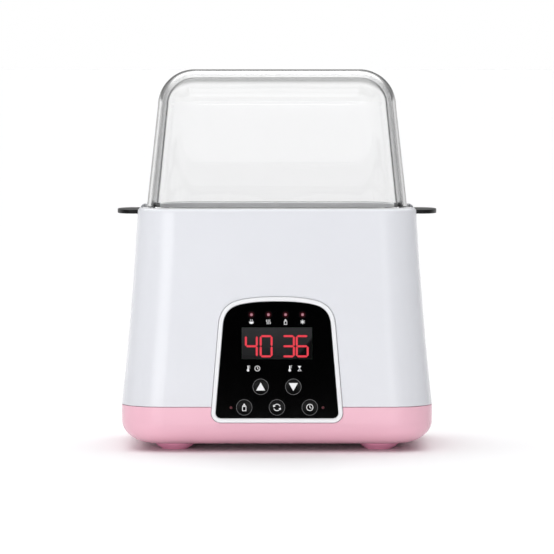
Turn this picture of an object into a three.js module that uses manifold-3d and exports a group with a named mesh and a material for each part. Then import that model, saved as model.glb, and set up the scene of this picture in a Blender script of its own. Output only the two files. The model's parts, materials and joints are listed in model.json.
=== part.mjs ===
// Twin bottle warmer: a tapered white housing on a rounded pink base, an open water tank with a heating
// plate in its floor, a black lift-out basket with two bottle wells and two ear handles, a clear
// lift-off cover and a front control panel with five push buttons.
//
// Millimetres, +Z up. The origin is on the table, midway between the feet. The control panel faces -Y.
// A plan is { a, b, r }: half width along X, half depth along Y and the radius of its corners.

import * as THREE from "three";
import { mergeVertices } from "three/addons/utils/BufferGeometryUtils.js";
import Module from "manifold-3d";

const wasm = await Module();
wasm.setup();

// ---------------------------------------------------------------- driving dimensions

const GAP = 0.3; // air left between two pieces that touch
const WALL = 2.5; // moulded shells
const UNDERSIDE_Z = 4.5; // base above the table
const SEAM_Z = 31; // joint between base and housing
const RIM_Z = 164; // top of the housing
const TOP_Z = 258; // top of the cover, which stands flat on the tank's rim

const SEAM_PLAN = { a: 105.5, b: 75, r: 30 };
const RIM_PLAN = { a: 94.7, b: 63.5, r: 27 };
const SIDE_SAG = 1; // how far the housing's sides curve in at mid height
const BASE_ROUNDING = { in: 21, up: 15.5 }; // quarter ellipse between the base's side and its underside

const COVER_FOOT_PLAN = { a: 88.9, b: 58, r: 29 };
const COVER_SHOULDER_PLAN = { a: 81.4, b: 50.5, r: 27 };
const COVER_FILLET = 25;
const COVER_WALL = 2.4;

const TANK_RIM_PLAN = { a: 85.8, b: 54.8, r: 25 };
const TANK_FLOOR_PLAN = { a: 80, b: 49, r: 21 };
const TANK_FLOOR_Z = 48;
const TANK_WALL = 2;

const WELL_X = 41; // bottle wells, left and right of the centre
const WELL_R = 38;
const BASKET_TOP_Z = 148.5;
const BASKET_FLOOR_Z = 58.5;
const BASKET_PLATE = 2.5;
const EAR = { top: 162, plate: 1.8, skirt: 2.6, halfWidth: 24, reach: 109.8, rim: 2.2 };

const FOOT_X = 69.5;
const FOOT_Y = 40;
const PLATE_R = 39.2; // raised face of the heating plate

const PANEL_FOOT_Z = 20.4; // bottom edge of the control panel
const PANEL_TILT = Math.atan((SEAM_PLAN.b - RIM_PLAN.b) / (RIM_Z - SEAM_Z));
const BEZEL_WIDTH = 2.9;
const LENS_FRONT = 0.9; // heights off the housing's front face, along its normal
const LENS_BACK = -0.9;
const BOARD_FRONT = -9.7;
const BUTTON_R = 5.7;
const BUTTON_TRAVEL = 1;
const BUTTONS = [
  { name: "button_up", x: -11, y: 24.3 },
  { name: "button_down", x: 11, y: 24.3 },
  { name: "button_warm", x: -22.1, y: 10.4 },
  { name: "button_function", x: 0, y: 10.4 },
  { name: "button_timer", x: 22.1, y: 10.4 },
];
const DISPLAY = { y: 53.6, width: 47.3, height: 21.2 };
const INDICATORS = { y: 73, pitch: 11.5, count: 4, r: 0.9 };
const STATUS_LED_X = 31;
const GLAND = { x: 60, z: 24, bore: 3.6, body: 4.8, flange: 6.2 };

const POWER_SCREWS = [-42, 42].flatMap((x) => [8, 44].map((y) => ({ x, y })));

const CORNER_STEPS = 6;

// ---------------------------------------------------------------- materials

const material = (color, roughness, metalness = 0) =>
  new THREE.MeshStandardMaterial({ color, roughness, metalness });
const WHITE = material(0xe9e9ee, 0.22);
const PINK = material(0xeab0c3, 0.28);
const ROSE = material(0xc9719a, 0.6);
const BLACK = material(0x0c0c0d, 0.2);
const CLEAR = new THREE.MeshStandardMaterial({
  color: 0xf4f8fa,
  roughness: 0.05,
  transparent: true,
  opacity: 0.25,
});
const SMOKE = material(0x3c3c40, 0.12);
const LAMP = material(0xc02030, 0.3);
const STEEL = material(0xc4c6c8, 0.3, 1);
const ALUMINIUM = material(0xb4b6b8, 0.45, 1);
const SILICONE = material(0xd8d4cc, 0.7);
const BOARD = material(0x1f6b3c, 0.5);
const DARK_PART = material(0x26262a, 0.5);
const YELLOW_TAPE = material(0xd8b23a, 0.5);
const WIRE_BROWN = material(0x5a3420, 0.5);
const WIRE_BLUE = material(0x2a4f9c, 0.5);
const WIRE_GREY = material(0xa8a8ac, 0.5);

// ---------------------------------------------------------------- geometry helpers

const lerp = THREE.MathUtils.lerp;
const mixPlans = (p, q, t) => ({ a: lerp(p.a, q.a, t), b: lerp(p.b, q.b, t), r: lerp(p.r, q.r, t) });
const shrink = (plan, by) => ({ a: plan.a - by, b: plan.b - by, r: Math.max(plan.r - by, 1) });

/** Counter-clockwise rounded rectangle at height z. */
function ring({ a, b, r }, z) {
  const points = [];
  for (let quarter = 0; quarter < 4; quarter++) {
    const right = quarter === 0 || quarter === 3 ? 1 : -1;
    const back = quarter < 2 ? 1 : -1;
    for (let i = 0; i <= CORNER_STEPS; i++) {
      const angle = ((quarter + i / CORNER_STEPS) * Math.PI) / 2;
      const x = right * (a - r) + r * Math.cos(angle);
      const y = back * (b - r) + r * Math.sin(angle);
      points.push(new THREE.Vector3(x, y, z));
    }
  }
  return points;
}

/** Surface through rings of equal length. Open ends are capped; a closed loft joins its last ring to its first. */
function loft(rings, closed = false) {
  const n = rings[0].length;
  const positions = rings.flat().flatMap((p) => [p.x, p.y, p.z]);
  const index = [];
  const bands = closed ? rings.length : rings.length - 1;
  for (let k = 0; k < bands; k++) {
    const lower = k * n;
    const upper = ((k + 1) % rings.length) * n;
    for (let i = 0; i < n; i++) {
      const next = (i + 1) % n;
      index.push(lower + i, lower + next, upper + next, lower + i, upper + next, upper + i);
    }
  }
  if (!closed) {
    const last = (rings.length - 1) * n;
    for (let i = 1; i < n - 1; i++) {
      index.push(0, i + 1, i, last, last + i, last + i + 1);
    }
  }
  const geometry = new THREE.BufferGeometry();
  geometry.setAttribute("position", new THREE.Float32BufferAttribute(positions, 3));
  geometry.setIndex(index);
  return geometry;
}

/** Body of revolution about +Z from [radius, z] pairs, listed with the solid on their left. */
function revolve(profile, segments = 24) {
  const points = profile.map(([radius, z]) => new THREE.Vector2(radius, z));
  return new THREE.LatheGeometry(points, segments).rotateX(Math.PI / 2);
}

function cylinder(radius, z0, z1, x = 0, y = 0, segments = 20) {
  const geometry = new THREE.CylinderGeometry(radius, radius, z1 - z0, segments).rotateX(Math.PI / 2);
  return geometry.translate(x, y, (z0 + z1) / 2);
}

function box(x0, x1, y0, y1, z0, z1) {
  const geometry = new THREE.BoxGeometry(x1 - x0, y1 - y0, z1 - z0);
  return geometry.translate((x0 + x1) / 2, (y0 + y1) / 2, (z0 + z1) / 2);
}

function extrude(shape, z0, z1, curveSegments = 8) {
  const options = { depth: z1 - z0, bevelEnabled: false, curveSegments };
  return new THREE.ExtrudeGeometry(shape, options).translate(0, 0, z0);
}

/** Round or flat cable along a smooth curve through [x, y, z] points. */
function cable(points, section, steps) {
  const curve = new THREE.CatmullRomCurve3(points.map((p) => new THREE.Vector3(...p)));
  return new THREE.ExtrudeGeometry(section, { extrudePath: curve, steps, curveSegments: 2 });
}

function circle(radius, x = 0, y = 0) {
  return new THREE.Shape().absarc(x, y, radius, 0, 2 * Math.PI);
}

/** Outline of points as a shape, for ExtrudeGeometry. */
const shapeOf = (points) => new THREE.Shape(points.map((p) => new THREE.Vector2(p.x, p.y)));

/** Moves each point of a counter-clockwise outline inwards by a distance. */
function insetOutline(points, distance) {
  const n = points.length;
  return points.map((p, i) => {
    const before = points[(i + n - 1) % n];
    const after = points[(i + 1) % n];
    const u = new THREE.Vector2().subVectors(p, before).normalize();
    const v = new THREE.Vector2().subVectors(after, p).normalize();
    const inward = new THREE.Vector2(-u.y - v.y, u.x + v.x).normalize();
    const stretch = 1 / Math.max(inward.dot(new THREE.Vector2(-u.y, u.x)), 0.5);
    return new THREE.Vector2().copy(p).addScaledVector(inward, distance * stretch);
  });
}

// ---------------------------------------------------------------- booleans

function solidOf(geometry) {
  const bare = geometry.index ? geometry.toNonIndexed() : geometry.clone();
  bare.deleteAttribute("normal");
  bare.deleteAttribute("uv");
  const merged = mergeVertices(bare, 1e-4);
  const vertProperties = merged.attributes.position.array;
  const triVerts = new Uint32Array(merged.index.array);
  return new wasm.Manifold(new wasm.Mesh({ numProp: 3, vertProperties, triVerts }));
}

/** First geometry, joined to those in add and then cut by those in cut. */
function combine(first, add = [], cut = []) {
  let solid = solidOf(first);
  for (const geometry of add) solid = solid.add(solidOf(geometry));
  for (const geometry of cut) solid = solid.subtract(solidOf(geometry));
  const mesh = solid.getMesh();
  const geometry = new THREE.BufferGeometry();
  geometry.setAttribute("position", new THREE.BufferAttribute(mesh.vertProperties, 3));
  geometry.setIndex(new THREE.BufferAttribute(mesh.triVerts, 1));
  return geometry;
}

// ---------------------------------------------------------------- scene graph

const warmer = new THREE.Group();
const panel = new THREE.Group(); // X right, Y up the sloping front face, Z out of it
panel.position.set(0, -SEAM_PLAN.b - (SEAM_Z - PANEL_FOOT_Z) * Math.tan(PANEL_TILT), PANEL_FOOT_Z);
panel.rotation.x = Math.PI / 2 - PANEL_TILT;
panel.updateMatrix();
warmer.add(panel);

function piece(name, geometry, finish, parent = warmer) {
  const mesh = new THREE.Mesh(geometry, finish);
  mesh.name = name;
  parent.add(mesh);
  return mesh;
}

// ---------------------------------------------------------------- plans that change with height

function housingPlan(z) {
  const t = (z - SEAM_Z) / (RIM_Z - SEAM_Z);
  const plan = mixPlans(SEAM_PLAN, RIM_PLAN, t);
  plan.a -= 4 * SIDE_SAG * t * (1 - t);
  return plan;
}

const tankPlan = (z) => mixPlans(TANK_FLOOR_PLAN, TANK_RIM_PLAN, (z - TANK_FLOOR_Z) / (RIM_Z - TANK_FLOOR_Z));

function coverPlan(z) {
  const shoulderZ = TOP_Z - COVER_FILLET;
  return mixPlans(COVER_FOOT_PLAN, COVER_SHOULDER_PLAN, (z - RIM_Z) / (shoulderZ - RIM_Z));
}

// ---------------------------------------------------------------- control panel outline

/** Right half of the panel mirrored to the left: straight sides that lean in, round shoulders, a crowned top. */
function panelOutline() {
  const outline = new THREE.Shape();
  outline.moveTo(-37.4, 0).lineTo(37.4, 0);
  outline.bezierCurveTo(41.6, 0, 44.7, 3.2, 44.3, 7.5);
  outline.lineTo(39.4, 66);
  outline.bezierCurveTo(38.6, 75.4, 34, 80.4, 26, 82.5);
  outline.bezierCurveTo(14, 85.6, -14, 85.6, -26, 82.5);
  outline.bezierCurveTo(-34, 80.4, -38.6, 75.4, -39.4, 66);
  outline.lineTo(-44.3, 7.5);
  outline.bezierCurveTo(-44.7, 3.2, -41.6, 0, -37.4, 0);
  const points = outline.getPoints(6);
  points.pop(); // the last point repeats the first
  return points;
}

const PANEL_OUTLINE = panelOutline();
const panelRing = (inset, z) =>
  insetOutline(PANEL_OUTLINE, inset).map((p) => new THREE.Vector3(p.x, p.y, z));

/** Opening in the housing and the base that takes the bezel. */
function panelOpening() {
  const cutter = extrude(shapeOf(insetOutline(PANEL_OUTLINE, -GAP)), -14, 6);
  return cutter.applyMatrix4(panel.matrix);
}

// ---------------------------------------------------------------- housing and base

/** Notches through the rim for the basket's ears. */
const EAR_NOTCHES = [-1, 1].map((side) => {
  const half = EAR.halfWidth + 1;
  return box(side * 90 - 10, side * 90 + 10, -half, half, EAR.top - EAR.plate - GAP, RIM_Z + 5);
});

/** Calls make(x, y) at each of the four places that mirror (x, y). */
const atCorners = (x, y, make) => [
  make(-x, -y),
  make(x, -y),
  make(-x, y),
  make(x, y),
];

function upperHousing() {
  const ledgeZ = 161.3;
  const outer = [31, 64, 97, 130, 161.6].map((z) => ring(housingPlan(z), z));
  const lip = [
    ring(shrink(RIM_PLAN, 0.7), 163.3),
    ring(shrink(RIM_PLAN, 1.6), RIM_Z),
    ring(shrink(RIM_PLAN, 2.4), RIM_Z),
    ring(shrink(RIM_PLAN, 2.4), ledgeZ),
    ring(shrink(RIM_PLAN, 6), ledgeZ),
    ring(shrink(RIM_PLAN, 6), ledgeZ - 2),
  ];
  const inner = [157, 97, 31].map((z) => ring(shrink(housingPlan(z), WALL), z));
  const shell = loft([...outer, ...lip, ...inner], true);
  const bossTop = 44;
  const bosses = atCorners(FOOT_X, FOOT_Y, (x, y) => cylinder(4.2, 7.3, bossTop, x, y));
  const ribs = atCorners(FOOT_X, FOOT_Y, (x, y) => {
    const wall = Math.sign(x) * 103;
    return box(Math.min(x, wall), Math.max(x, wall), y - 1.2, y + 1.2, 36, bossTop);
  });
  const pilots = atCorners(FOOT_X, FOOT_Y, (x, y) => cylinder(2, 7, 28, x, y, 12));
  return combine(shell, [...bosses, ...ribs], [...pilots, panelOpening(), ...EAR_NOTCHES]);
}

function baseTray() {
  const steps = 5;
  const roundStart = UNDERSIDE_Z + BASE_ROUNDING.up;
  const rounded = (offset) =>
    Array.from({ length: steps + 1 }, (_, i) => {
      const angle = (Math.PI / 2) * (1 - i / steps);
      const inset = BASE_ROUNDING.in * (1 - Math.cos(angle));
      const z = roundStart - (BASE_ROUNDING.up - offset) * Math.sin(angle);
      return ring(shrink(SEAM_PLAN, inset + offset), z);
    });
  const tongueTop = SEAM_Z + 3;
  const tongue = shrink(SEAM_PLAN, WALL + 0.6);
  const shell = loft([
    ...rounded(0),
    ring(SEAM_PLAN, SEAM_Z - GAP),
    ring(tongue, SEAM_Z - GAP),
    ring(tongue, tongueTop),
    ring(shrink(tongue, 1.8), tongueTop),
    ring(shrink(tongue, 1.8), SEAM_Z - 4),
    ...rounded(WALL).reverse(),
  ]);
  const posts = POWER_SCREWS.map(({ x, y }) => cylinder(3, 6, 13.7, x, y, 12));
  const postHoles = POWER_SCREWS.map(({ x, y }) => cylinder(1.4, 8, 14, x, y, 8));
  const footHoles = atCorners(FOOT_X, FOOT_Y, (x, y) => cylinder(5.3, 0, 10, x, y));
  const ribClearance = atCorners(FOOT_X, FOOT_Y, (x, y) => {
    const wall = Math.sign(x) * 104;
    return box(Math.min(x, wall), Math.max(x, wall), y - 2, y + 2, SEAM_Z, tongueTop + 1);
  });
  const cordHole = cylinder(GLAND.body + GAP, -10, 10).rotateX(Math.PI / 2);
  cordHole.translate(GLAND.x, SEAM_PLAN.b, GLAND.z);
  return combine(shell, posts, [...postHoles, ...footHoles, ...ribClearance, cordHole, panelOpening()]);
}

function foot() {
  return revolve([
    [4.6, 0],
    [9.3, 0],
    [10.6, 0.8],
    [13.4, UNDERSIDE_Z - GAP],
    [5, UNDERSIDE_Z - GAP],
    [5, 6.8],
    [2.1, 6.8],
    [2.1, 2.8],
    [4.6, 2.8],
    [4.6, 0],
  ]);
}

/** Pan-head screw, driven upwards, with the underside of its head at z = 0. */
function screw(headR, headHeight, shankR, length) {
  return revolve(
    [
      [0, -headHeight],
      [headR * 0.8, -headHeight],
      [headR, -headHeight * 0.6],
      [headR, 0],
      [shankR, 0],
      [shankR, length - shankR],
      [0, length],
    ],
    12,
  );
}

piece("upper_housing", upperHousing(), WHITE);
piece("base_tray", baseTray(), PINK);

const CORNER_NAMES = ["front_left", "front_right", "rear_left", "rear_right"];
atCorners(FOOT_X, FOOT_Y, (x, y) => new THREE.Vector2(x, y)).forEach((at, i) => {
  piece(`foot_${CORNER_NAMES[i]}`, foot(), ROSE).position.set(at.x, at.y, 0);
  piece(`foot_screw_${CORNER_NAMES[i]}`, screw(4, 1.9, 1.7, 22), STEEL).position.set(at.x, at.y, 2.5);
});

/** Flanged bush in the rear wall where the mains lead passes into the base. */
const gland = revolve([
  [GLAND.bore, -6],
  [GLAND.body, -6],
  [GLAND.body, GAP],
  [GLAND.flange, GAP],
  [GLAND.flange, 1.7],
  [GLAND.flange - 0.7, 2.4],
  [GLAND.bore, 2.4],
  [GLAND.bore, -6],
]);
const glandPiece = piece("cord_gland", gland, BLACK);
glandPiece.rotation.x = -Math.PI / 2;
glandPiece.position.set(GLAND.x, SEAM_PLAN.b, GLAND.z);

// ---------------------------------------------------------------- water tank and heater

const HEATER_BOLT_R = 50.5;
const heaterBolt = (i) => {
  const angle = Math.PI / 4 + (i * Math.PI) / 2;
  return { x: HEATER_BOLT_R * Math.cos(angle), y: HEATER_BOLT_R * Math.sin(angle) };
};
const HEATER_BOLTS = [0, 1, 2, 3].map(heaterBolt);

function waterTank() {
  const flange = shrink(RIM_PLAN, 2.4 + GAP);
  const flangeZ = 161.6;
  const outerWall = (z) => shrink(tankPlan(z), -TANK_WALL);
  const shell = loft([
    ring(shrink(outerWall(TANK_FLOOR_Z), 3), TANK_FLOOR_Z - 2.5),
    ring(outerWall(51), 51),
    ring(outerWall(105), 105),
    ring(outerWall(flangeZ), flangeZ),
    ring(flange, flangeZ),
    ring(flange, RIM_Z - 0.4),
    ring(shrink(flange, 0.4), RIM_Z),
    ring(tankPlan(RIM_Z), RIM_Z),
    ring(tankPlan(105), 105),
    ring(tankPlan(52), 52),
    ring(shrink(tankPlan(TANK_FLOOR_Z), 3), TANK_FLOOR_Z),
  ]);
  const bosses = HEATER_BOLTS.map(({ x, y }) => cylinder(3.6, 42.2, 46.5, x, y, 12));
  const pilots = HEATER_BOLTS.map(({ x, y }) => cylinder(1.8, 42, 47, x, y, 8));
  const plateHole = cylinder(PLATE_R + 0.6, 40, 50, 0, 0, 40);
  return combine(shell, bosses, [...pilots, plateHole, ...EAR_NOTCHES]);
}

/** Shallow inverted pan: its face stands in the tank's floor and its flange is clamped from below. */
function heatingPlate() {
  const face = TANK_FLOOR_Z - 0.8;
  return revolve(
    [
      [0, face - 1.2],
      [PLATE_R - 1.2, face - 1.2],
      [PLATE_R - 1.2, 42.2],
      [46, 42.2],
      [46, 43.4],
      [PLATE_R, 43.4],
      [PLATE_R, face - 0.5],
      [PLATE_R - 0.5, face],
      [0, face],
    ],
    40,
  );
}

function heaterBlock() {
  const casting = revolve(
    [
      [10, 35],
      [31, 35],
      [36, 38],
      [36, 45.7],
      [10, 45.7],
      [10, 35],
    ],
    32,
  );
  const tabs = [-1, 1].map((side) => box(side * 6 + 16, side * 6 + 20, 20, 21, 27, 37));
  return combine(casting, tabs);
}

function heaterBracket() {
  const plate = revolve(
    [
      [37, 40.3],
      [48, 40.3],
      [48, 41.9],
      [37, 41.9],
      [37, 40.3],
    ],
    32,
  );
  const ears = HEATER_BOLTS.map(({ x, y }) => cylinder(5, 40.3, 41.9, x, y, 12));
  const holes = HEATER_BOLTS.map(({ x, y }) => cylinder(1.9, 40, 42.2, x, y, 8));
  return combine(plate, ears, holes);
}

piece("water_tank", waterTank(), WHITE);
piece("heating_plate", heatingPlate(), STEEL);
piece(
  "plate_seal",
  revolve(
    [
      [40, 43.7],
      [45.8, 43.7],
      [45.8, 45.2],
      [40, 45.2],
      [40, 43.7],
    ],
    32,
  ),
  SILICONE,
);
piece("heater_block", heaterBlock(), ALUMINIUM);
piece("heater_bracket", heaterBracket(), STEEL);
HEATER_BOLTS.forEach(({ x, y }, i) => {
  piece(`bracket_screw_${i + 1}`, screw(3, 1.6, 1.5, 6), STEEL).position.set(x, y, 40);
});
piece("thermistor", cylinder(3.5, 33, 45.7, 0, 0, 12), STEEL);
piece("thermostat", combine(cylinder(8, 29.5, 34.7, 22, -4), [cylinder(6, 27, 30, 22, -4)]), DARK_PART);
const thermalFuse = new THREE.CylinderGeometry(2, 2, 14, 10);
piece("thermal_fuse", thermalFuse, STEEL).position.set(-22, -4, 32.4);

// ---------------------------------------------------------------- lift-out basket and cover

/** One ear, on the side x > 0: a tab across the rim, a skirted grip, and a ridge that centres the cover. */
function ear() {
  const root = 81.6;
  const skirtStart = 95.3;
  const half = EAR.halfWidth;
  const bend = EAR.reach - 11;
  const outline = (from, by) => {
    const shape = new THREE.Shape();
    shape.moveTo(from, by - half).lineTo(bend, by - half);
    shape.bezierCurveTo(EAR.reach - 2 - by, by - half, EAR.reach - by, -9, EAR.reach - by, 0);
    shape.bezierCurveTo(EAR.reach - by, 9, EAR.reach - 2 - by, half - by, bend, half - by);
    shape.lineTo(from, half - by);
    return shape;
  };
  const tab = extrude(outline(root, 0), EAR.top - EAR.plate, EAR.top, 6);
  const grip = extrude(outline(skirtStart, 0), EAR.top - EAR.skirt, EAR.top - 0.5, 6);
  const hollow = extrude(outline(skirtStart + EAR.rim, EAR.rim), 150, EAR.top - EAR.plate, 6);
  const arm = box(root, root + 2.6, -half, half, BASKET_TOP_Z - BASKET_PLATE, EAR.top - 0.5);
  const ridge = box(root + 1.8, root + 4, 4 - half, half - 4, EAR.top - 0.5, RIM_Z + 1.4);
  return combine(grip, [tab, arm, ridge], [hollow]);
}

function liftBasket() {
  const topPlan = { a: 82.4, b: 51.8, r: 24 };
  const floorPlan = { a: 76.5, b: 46, r: 20 };
  const plate = (plan, z) => loft([ring(plan, z - BASKET_PLATE), ring(plan, z)]);
  const post = (x, y) =>
    box(x - 3.5, x + 3.5, y - 2.5, y + 2.5, BASKET_FLOOR_Z - 1, BASKET_TOP_Z - BASKET_PLATE + 1);
  const posts = [...atCorners(69, 35.5, post), post(0, -37), post(0, 37)];
  const wells = [-WELL_X, WELL_X].map((x) => cylinder(WELL_R, 120, 160, x, 0, 32));
  const drains = [-WELL_X, WELL_X].map((x) => cylinder(22, 50, 65, x, 0, 24));
  const rightEar = ear();
  const leftEar = rightEar.clone().rotateZ(Math.PI);
  return combine(
    plate(topPlan, BASKET_TOP_Z),
    [plate(floorPlan, BASKET_FLOOR_Z), ...posts, leftEar, rightEar],
    [...wells, ...drains],
  );
}

function clearCover() {
  const shoulderZ = TOP_Z - COVER_FILLET;
  const steps = 5;
  const dome = (inset) =>
    Array.from({ length: steps + 1 }, (_, i) => {
      const angle = (Math.PI / 2) * (i / steps);
      const radius = COVER_FILLET - inset;
      const plan = shrink(coverPlan(shoulderZ), inset + radius * (1 - Math.cos(angle)));
      return ring(plan, shoulderZ + radius * Math.sin(angle));
    });
  const foot = RIM_Z + GAP;
  return loft([
    ...dome(COVER_WALL).reverse(),
    ring(shrink(coverPlan(foot), COVER_WALL), foot),
    ring(coverPlan(foot), foot),
    ...dome(0),
  ]);
}

piece("lift_basket", liftBasket(), BLACK);
piece("clear_cover", clearCover(), CLEAR);

// ---------------------------------------------------------------- control panel, in the panel's frame

const BOARD_SCREWS = [
  { x: -36, y: 36 },
  { x: 36, y: 36 },
  { x: -33, y: 67 },
  { x: 33, y: 67 },
];

function panelBezel() {
  const frame = loft(
    [
      panelRing(0, -8),
      panelRing(0, 0.9),
      panelRing(0.6, 1.5),
      panelRing(BEZEL_WIDTH - 0.5, 1.5),
      panelRing(BEZEL_WIDTH, 1.1),
      panelRing(BEZEL_WIDTH, LENS_BACK - GAP),
      panelRing(BEZEL_WIDTH + 0.7, LENS_BACK - GAP),
      panelRing(BEZEL_WIDTH + 0.7, -3),
      panelRing(1.6, -3),
      panelRing(1.6, -8),
    ],
    true,
  );
  const posts = BOARD_SCREWS.map(({ x, y }) => cylinder(3.4, BOARD_FRONT + GAP, -1.4, x, y, 12));
  const pilots = BOARD_SCREWS.map(({ x, y }) => cylinder(1.3, -12, -4, x, y, 8));
  return combine(frame, posts, pilots);
}

function panelLens() {
  const lens = shapeOf(insetOutline(PANEL_OUTLINE, BEZEL_WIDTH + 0.2));
  BUTTONS.forEach(({ x, y }) => lens.holes.push(circle(BUTTON_R + GAP, x, y)));
  indicatorPlaces().forEach((x) => lens.holes.push(circle(INDICATORS.r + 0.15, x, INDICATORS.y)));
  [-1, 1].forEach((side) => lens.holes.push(circle(INDICATORS.r + 0.15, side * STATUS_LED_X, BUTTONS[2].y)));
  const half = { x: DISPLAY.width / 2 + 0.2, y: DISPLAY.height / 2 + 0.2 };
  const window = new THREE.Path();
  window.moveTo(-half.x, DISPLAY.y - half.y).lineTo(-half.x, DISPLAY.y + half.y);
  window.lineTo(half.x, DISPLAY.y + half.y).lineTo(half.x, DISPLAY.y - half.y);
  lens.holes.push(window);
  return extrude(lens, LENS_BACK, LENS_FRONT, 5);
}

/** Centre line places of the row of indicator lamps. */
function indicatorPlaces() {
  const first = (-INDICATORS.pitch * (INDICATORS.count - 1)) / 2;
  return Array.from({ length: INDICATORS.count }, (_, i) => first + i * INDICATORS.pitch);
}

/** Round cap with a retaining flange behind the lens and a stem that reaches for its switch. */
function buttonCap() {
  const front = LENS_FRONT + 0.3;
  return revolve([
    [0, -4.7],
    [2, -4.7],
    [2, -2.3],
    [BUTTON_R + 0.7, -2.3],
    [BUTTON_R + 0.7, LENS_BACK - GAP],
    [BUTTON_R, LENS_BACK - GAP],
    [BUTTON_R, front - 0.4],
    [BUTTON_R - 0.4, front],
    [0, front],
  ]);
}

function lightGuide() {
  const half = (INDICATORS.pitch * (INDICATORS.count - 1)) / 2 + 2;
  const bar = box(-half, half, INDICATORS.y - 2, INDICATORS.y + 2, -4.5, LENS_BACK - GAP);
  const pins = indicatorPlaces().map((x) =>
    cylinder(INDICATORS.r, -2, LENS_FRONT, x, INDICATORS.y, 12),
  );
  return combine(bar, pins);
}

function statusLed() {
  return revolve(
    [
      [0, BOARD_FRONT + GAP],
      [1.5, BOARD_FRONT + GAP],
      [1.5, -3],
      [INDICATORS.r, -2],
      [INDICATORS.r, LENS_FRONT],
      [0, LENS_FRONT],
    ],
    12,
  );
}

function tactSwitch() {
  const seat = BOARD_FRONT + GAP;
  const plunger = -4.7 - BUTTON_TRAVEL - 0.2; // clear of the stem at full travel
  return combine(box(-3, 3, -3, 3, seat, seat + 2.8), [cylinder(1.7, seat + 2, plunger, 0, 0, 10)]);
}

function controlBoard() {
  const outline = shapeOf(insetOutline(PANEL_OUTLINE, BEZEL_WIDTH + 0.4));
  BOARD_SCREWS.forEach(({ x, y }) => outline.holes.push(circle(1.6, x, y)));
  return extrude(outline, BOARD_FRONT - 1.6, BOARD_FRONT, 3);
}

piece("panel_bezel", panelBezel(), WHITE, panel);
piece("panel_lens", panelLens(), BLACK, panel);
piece("control_board", controlBoard(), BOARD, panel);
piece("light_guide", lightGuide(), LAMP, panel);
BUTTONS.forEach(({ name, x, y }) => {
  piece(name, buttonCap(), BLACK, panel).position.set(x, y, 0);
  piece(name.replace("button", "switch"), tactSwitch(), DARK_PART, panel).position.set(x, y, 0);
});
["left", "right"].forEach((side, i) => {
  const led = piece(`status_led_${side}`, statusLed(), LAMP, panel);
  led.position.set((i * 2 - 1) * STATUS_LED_X, BUTTONS[2].y, 0);
});

const displayBox = (width, height, back, front) =>
  box(-width / 2, width / 2, DISPLAY.y - height / 2, DISPLAY.y + height / 2, back, front);
piece("display_window", displayBox(DISPLAY.width, DISPLAY.height, -0.8, 0.8), SMOKE, panel);
piece("display_module", displayBox(DISPLAY.width - 1, DISPLAY.height - 1, BOARD_FRONT + GAP, -2.4), DARK_PART, panel);
BOARD_SCREWS.forEach(({ x, y }, i) => {
  piece(`board_screw_${i + 1}`, screw(2.4, 1.3, 1, 5.5), STEEL, panel).position.set(x, y, BOARD_FRONT - 1.9);
});

// ---------------------------------------------------------------- power electronics in the base

const POWER_TOP = 15.6;
const powerOutline = shapeOf([
  { x: -48, y: 2 },
  { x: 48, y: 2 },
  { x: 48, y: 50 },
  { x: -48, y: 50 },
]);
POWER_SCREWS.forEach(({ x, y }) => powerOutline.holes.push(circle(1.7, x, y)));
piece("power_board", extrude(powerOutline, 14, POWER_TOP, 3), BOARD);
POWER_SCREWS.forEach(({ x, y }, i) => {
  const screwPiece = piece(`power_screw_${i + 1}`, screw(2.6, 1.4, 1.1, 6), STEEL);
  screwPiece.rotation.x = Math.PI;
  screwPiece.position.set(x, y, POWER_TOP + GAP);
});

const onBoard = POWER_TOP + GAP;
piece("transformer", box(-36, -12, 20, 42, onBoard, 32), YELLOW_TAPE);
piece("relay", box(0, 19, 30, 44, onBoard, 30), DARK_PART);
piece("filter_capacitor", box(26, 44, 16, 24, onBoard, 28), WIRE_BLUE);
piece("terminal_block", box(22, 37, 34, 46, onBoard, 27), WHITE);

const wire = circle(1.2);
piece(
  "heater_lead_live",
  cable([[26, 40, 27.5], [26, 39, 31], [26, 33, 32.5], [24.5, 26.5, 31], [24, 22.6, 29]], wire, 12),
  WIRE_BROWN,
);
piece(
  "heater_lead_neutral",
  cable([[32, 40, 27.8], [32, 42, 31], [26, 47, 33.3], [13, 45, 33.3], [12, 33, 32.6], [12, 22.8, 29.5]], wire, 16),
  WIRE_BLUE,
);
const flat = new THREE.Shape();
flat.moveTo(-7, -0.5).lineTo(7, -0.5).lineTo(7, 0.5).lineTo(-7, 0.5);
piece(
  "ribbon_cable",
  cable([[0, -62.2, 34], [0, -58, 30], [0, -46, 22], [0, -20, 17.5], [0, 1, 16.8], [0, 10, 16.8]], flat, 12),
  WIRE_GREY,
);

export default warmer;
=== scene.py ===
"""Looks of the twin bottle warmer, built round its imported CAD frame.

Lengths are millimetres, except in the materials, the lights and the camera, which are in metres.
X is to the right, the control panel faces -Y, +Z is up, and the origin is on the table under the middle.
"""

import json
import math
from collections import namedtuple

import bpy
from mathutils import Matrix, Vector
from mathutils.geometry import interpolate_bezier

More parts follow.
